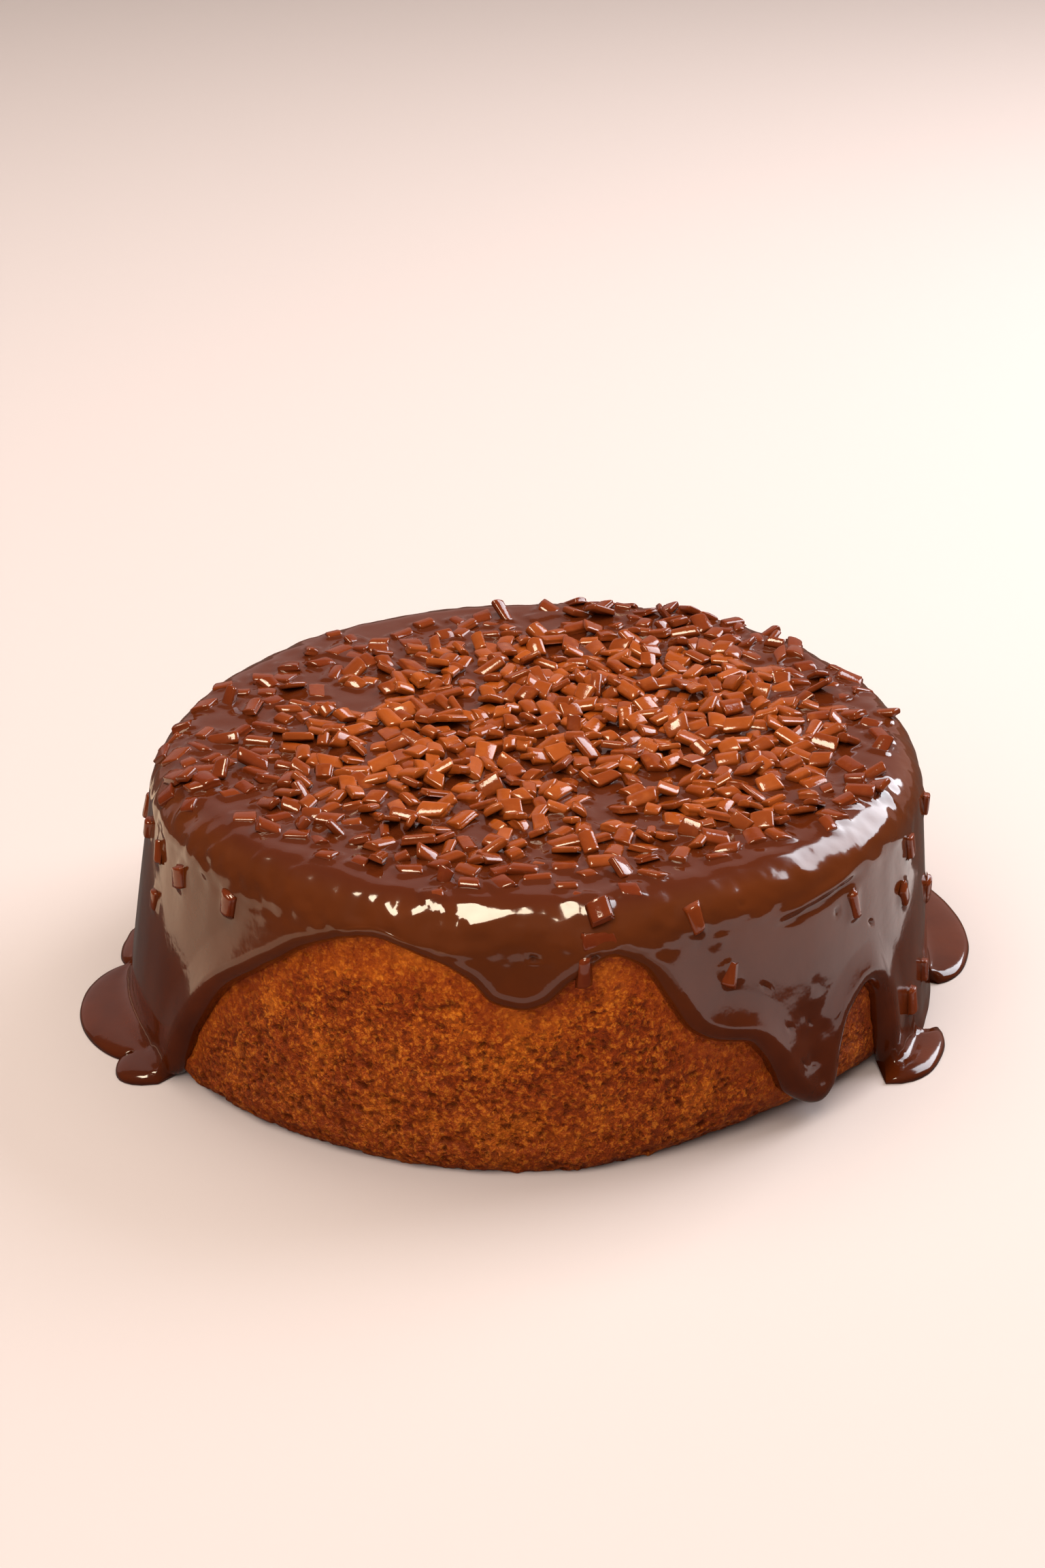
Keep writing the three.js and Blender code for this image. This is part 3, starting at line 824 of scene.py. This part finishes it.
# ---- materials: scales are in bumps to the metre ----
class Shading:
    """A material with one Principled shader, and the ways in which its nodes are put together."""

    def __init__(self, name):
        self.material = bpy.data.materials.new(name)
        self.material.use_nodes = True
        self.nodes = self.material.node_tree.nodes
        self.links = self.material.node_tree.links
        self.nodes.clear()
        output = self.nodes.new("ShaderNodeOutputMaterial")
        self.shader = self.nodes.new("ShaderNodeBsdfPrincipled")
        self.connect(self.shader.outputs["BSDF"], output.inputs["Surface"])

    def connect(self, value, socket):
        """Gives a socket a link, a number, or as many numbers as it holds: four in a colour."""
        if isinstance(value, bpy.types.NodeSocket):
            self.links.new(value, socket)
        elif isinstance(value, tuple):
            socket.default_value = (*value, 1)[: len(socket.default_value)]
        else:
            socket.default_value = value

    def give(self, values):
        for name, value in values.items():
            self.connect(value, self.shader.inputs[name])

    def add(self, kind, output, inputs, **settings):
        """A node of one kind, given its settings and inputs. Returns the output that is wanted."""
        node = self.nodes.new(kind)
        for name, value in settings.items():
            setattr(node, name, value)
        for name, value in inputs.items():
            self.connect(value, node.inputs[name])
        return node.outputs[output]

    def place(self):
        return self.add("ShaderNodeTexCoord", "Object", {})

    def turned(self, where):
        """The place turned as a cube on its corner, so that no plane of a noise lies along the side."""
        corner = (math.asin(1 / math.sqrt(3)), math.pi / 4, 0)
        return self.add("ShaderNodeMapping", "Vector", {"Rotation": corner, "Vector": where})

    def attribute(self, name):
        return self.add("ShaderNodeAttribute", "Fac", {}, attribute_name=name)

    def noise(self, where, scale, detail, rough=0.55):
        inputs = {"Scale": scale, "Detail": detail, "Roughness": rough, "Vector": where}
        return self.add("ShaderNodeTexNoise", "Fac", inputs)

    def grains(self, where, scale):
        """Round grains of uneven outline: 1 in the middle of each and 0 in the gaps between them."""
        wobble = self.add("ShaderNodeTexNoise", "Color", {"Scale": 1.3 * scale, "Vector": where})
        inputs = {0: wobble, 1: (2.2 / scale,) * 3, 2: where}
        bent = self.add("ShaderNodeVectorMath", "Vector", inputs, operation="MULTIPLY_ADD")
        cells = self.add("ShaderNodeTexVoronoi", "Distance", {"Scale": scale, "Vector": bent})
        return self.spread(cells, 0.15, 0.75, 1, 0)

    def spread(self, value, low, high, to_low, to_high):
        """A number taken from one range to another, and kept inside it."""
        inputs = {"From Min": low, "From Max": high, "To Min": to_low, "To Max": to_high, "Value": value}
        return self.add("ShaderNodeMapRange", "Result", inputs)

    def above_floor(self, where, low, high, to_low, to_high):
        """A number that changes with the height above the floor, given in metres."""
        height = self.add("ShaderNodeSeparateXYZ", "Z", {"Vector": where})
        return self.spread(height, low, high, to_low, to_high)

    def blend(self, share, first, second, kind="FLOAT"):
        """A number part of the way from the first to the second."""
        inputs = {"Factor": share, "A": first, "B": second}
        return self.add("ShaderNodeMix", "Result", inputs, data_type=kind)

    def mix(self, share, first, second):
        """A colour part of the way from the first to the second."""
        return self.blend(share, first, second, "RGBA")

    def ramp(self, value, stops):
        node = self.nodes.new("ShaderNodeValToRGB")
        elements = node.color_ramp.elements
        while len(elements) < len(stops):
            elements.new(0.5)
        for element, (place, colour) in zip(elements, stops):
            element.position = place
            element.color = (*colour, 1)
        self.connect(value, node.inputs["Fac"])
        return node.outputs["Color"]

    def bump(self, height, strength, distance):
        inputs = {"Strength": strength, "Distance": distance, "Height": height}
        self.give({"Normal": self.add("ShaderNodeBump", "Normal", inputs)})


def sponge_material():
    """Moist crumb: fine grains and pores in paler and darker patches, with painted shade in its hollows and
    pores and towards the foot.
    """
    made = Shading("sponge_crumb")
    upright_place = made.place()
    where = made.turned(upright_place)
    coarse = made.attribute("coarse")
    grain = made.blend(0.35, made.noise(where, 800, 4, 0.7), made.grains(where, 640))
    grain = made.blend(coarse, made.blend(0.7, grain, 0.5), grain)
    gate = made.spread(made.noise(where, 230, 2), 0.42, 0.56, 0, 1)
    pores = made.spread(made.grains(where, 340), 0.66, 0.9, 0, 1)
    pores = made.blend(coarse, 0.0, made.blend(gate, 0.0, pores))
    patches = made.noise(where, 90, 5)
    colour = made.ramp(grain, CRUMB_TONES)
    colour = made.mix(made.spread(patches, 0.38, 0.62, 0.6, 0), colour, DARK_CRUMB)
    colour = made.mix(made.spread(patches, 0.5, 0.68, 0, 0.5), colour, GOLDEN_CRUMB)
    # Painted shade in the deep hollows, where the pit attribute is high.
    colour = made.mix(made.spread(made.attribute("pit"), 0.15, 1, 0, 0.8), colour, PAINTED_HOLLOW_SHADE)
    # Painted shade in the small pores.
    colour = made.mix(made.spread(pores, 0, 1, 0, 0.75), colour, PAINTED_PORE_SHADE)
    # Painted shade: the crumb darkens towards the floor, most at the foot.
    colour = made.mix(made.above_floor(upright_place, 0, 0.055, 0.55, 0), colour, PAINTED_FOOT_SHADE)
    made.give({
        "Base Color": colour,
        "Roughness": 0.6,
        "Specular IOR Level": 0.12,
        "Subsurface Weight": 0.12,
        "Subsurface Radius": (1.0, 0.3, 0.1),
        "Subsurface Scale": 0.0012,
    })
    made.bump(made.blend(pores, grain, 0.0), 0.85, 0.0013)
    return made.material


def glaze_material():
    """Wet chocolate, a little lighter where it is thin near the shoulder, with soft smears in its gloss."""
    made = Shading("chocolate_glaze")
    where = made.place()
    colour = made.ramp(made.noise(where, 45, 4), GLAZE_TONES)
    colour = made.mix(made.above_floor(where, 0.03, 0.064, 0, 0.5), colour, THIN_GLAZE)
    colour = made.mix(made.above_floor(where, 0.0705, 0.0728, 0, 1), colour, LEVEL_GLAZE)
    smears = made.noise(where, 25, 3)
    made.give({"Base Color": colour, "Roughness": made.spread(smears, 0.3, 0.7, 0.06, 0.15), "IOR": 1.42})
    made.bump(made.noise(where, 260, 2), 0.1, 0.0006)
    return made.material


def flake_material():
    """Milk chocolate, each flake with its own tone, darker where the glaze coats it and at the wet foot."""
    made = Shading("chocolate_flake")
    where = made.place()
    inner, dry = made.attribute("inner"), made.attribute("dry")
    tone = made.ramp(made.attribute("tone"), FLAKE_TONES)
    bloom = made.mix(made.spread(made.noise(where, 350, 3), 0.5, 0.8, 0, 0.3), tone, PALE_FLAKE)
    above = made.mix(inner, made.mix(0.7, bloom, COATED_FLAKE), bloom)
    made.give({
        "Base Color": made.mix(dry, WET_FLAKE, above),
        "Roughness": made.blend(dry, 0.07, made.spread(inner, 0, 1, 0.09, 0.12)),
        "Specular IOR Level": 0.36,
    })
    made.bump(made.noise(where, 700, 3), 0.2, 0.0003)
    return made.material


def floor_material():
    made = Shading("studio_floor")
    made.give({"Base Color": FLOOR_COLOUR, "Roughness": 0.7, "Specular IOR Level": 0.2})
    return made.material


# ---- building ----
def build_cake():
    rng = np.random.default_rng(7)
    ground = HeightMap()
    chocolate = flake_material()
    flakes = make_flakes("flakes_on_top", scatter_on_top(rng, ground), rng, chocolate)
    stuck = make_flakes("flakes_on_side", scatter_on_wall(rng), rng, chocolate)
    glaze = make_glaze(ground, glaze_material())
    sponge = make_sponge(sponge_material())
    for piece, node, slot in (
        (sponge, "sponge", "sponge"),
        (glaze, "chocolate_glaze", "chocolate_glaze"),
        (flakes, "chocolate_flakes", "chocolate_flakes"),
        (stuck, None, "chocolate_flakes"),
    ):
        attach(piece, "root")
        if node:
            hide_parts(node)


# ---- the studio ----
FLOOR_SIZE = 8
FLOOR_DROP = 0.0002  # so that the floor doesn't touch the underside
WORLD_STRENGTH = 0.13
CAMERA_PLACE = (0.0, -0.8873, 0.4743)
CAMERA_PITCH = 25.08  # degrees down
CAMERA_YAW = -0.14
CAMERA_ROLL = 0.68
CAMERA_LENS = 81.25
CAMERA_SENSOR = 36  # along the image's long side
MIDDLE = (0, 0, 0.05)
# The lights: name, place, aim, size, power, colour, and which rays don't see them besides the camera's.
PANELS = [
    ("glint", (-0.24, -0.05, 1.25), MIDDLE, (0.62, 0.36), 22, (1, 0.86, 0.64), "diffuse"),
    ("overhead", (-0.1, 0, 1.4), MIDDLE, (2.2, 1.8), 45, (1, 0.93, 0.84), "glossy"),
    ("window", (0.9, 0.62, 0.8), MIDDLE, (0.85, 0.8), 25, (0.88, 0.93, 1.0), None),
    ("back_wall", (0, 1.3, 0.62), (0, 0, 0.62), (3.4, 1.0), 5, (1, 0.66, 0.62), "diffuse"),
    ("front_fill", (-0.9, -2.4, 1.9), (0, 0, 0.03), (2.4, 1.8), 50, (1, 0.95, 0.9), "glossy"),
]
CARD_HEIGHT = 0.001
# Bright cards on the floor, which the side of the glaze reflects: name, place, size, brightness, colour.
CARDS = [
    ("sheen_front", (-0.02, -0.36), (0.36, 0.32), 1.0, (1, 0.88, 0.8)),
    ("sheen_left", (-0.345, -0.21), (0.32, 0.82), 1.4, (1, 0.72, 0.48)),
    ("sheen_right", (0.33, -0.3), (0.34, 0.7), 1.5, (1, 0.9, 0.86)),
]


def add_camera():
    pitch, yaw, roll = (math.radians(v) for v in (CAMERA_PITCH, CAMERA_YAW, CAMERA_ROLL))
    forward = Vector((math.sin(yaw) * math.cos(pitch), math.cos(yaw) * math.cos(pitch), -math.sin(pitch)))
    level = Vector((math.cos(yaw), -math.sin(yaw), 0))
    down = forward.cross(level)
    right = level * math.cos(roll) + down * math.sin(roll)
    up = level * math.sin(roll) - down * math.cos(roll)
    data = bpy.data.cameras.new("camera")
    data.lens = CAMERA_LENS
    data.sensor_width = CAMERA_SENSOR
    camera = bpy.data.objects.new("camera", data)
    camera.matrix_world = Matrix((right, up, -forward)).transposed().to_4x4()
    camera.matrix_world.translation = Vector(CAMERA_PLACE)
    bpy.context.scene.collection.objects.link(camera)
    bpy.context.scene.camera = camera


def add_panel(name, place, aim, size, power, colour, unseen_by):
    data = bpy.data.lights.new(name, "AREA")
    data.shape = "RECTANGLE"
    data.size, data.size_y = size
    data.energy = power
    data.color = colour
    panel = bpy.data.objects.new(name, data)
    panel.location = place
    panel.rotation_euler = (Vector(aim) - Vector(place)).to_track_quat("-Z", "Y").to_euler()
    panel.visible_camera = False
    panel.visible_diffuse = unseen_by != "diffuse"
    panel.visible_glossy = unseen_by != "glossy"
    bpy.context.scene.collection.objects.link(panel)


def add_floor():
    bpy.ops.mesh.primitive_plane_add(size=FLOOR_SIZE, location=(0, 0, -FLOOR_DROP))
    floor = bpy.context.object
    floor.name = "floor"
    floor.data.materials.append(floor_material())
    floor.visible_glossy = False


def add_studio():
    add_floor()
    world = bpy.data.worlds.new("studio")
    world.use_nodes = True
    background = world.node_tree.nodes["Background"]
    background.inputs["Color"].default_value = (*WORLD_COLOUR, 1)
    background.inputs["Strength"].default_value = WORLD_STRENGTH
    bpy.context.scene.world = world
    for panel in PANELS:
        add_panel(*panel)
    for name, place, size, bright, colour in CARDS:
        power = bright * math.pi * size[0] * size[1]
        add_panel(name, (*place, CARD_HEIGHT), (*place, 1), size, power, colour, "diffuse")
    bpy.context.scene.view_settings.view_transform = "Standard"
    bpy.context.scene.view_settings.look = "None"


build_cake()
add_camera()
add_studio()
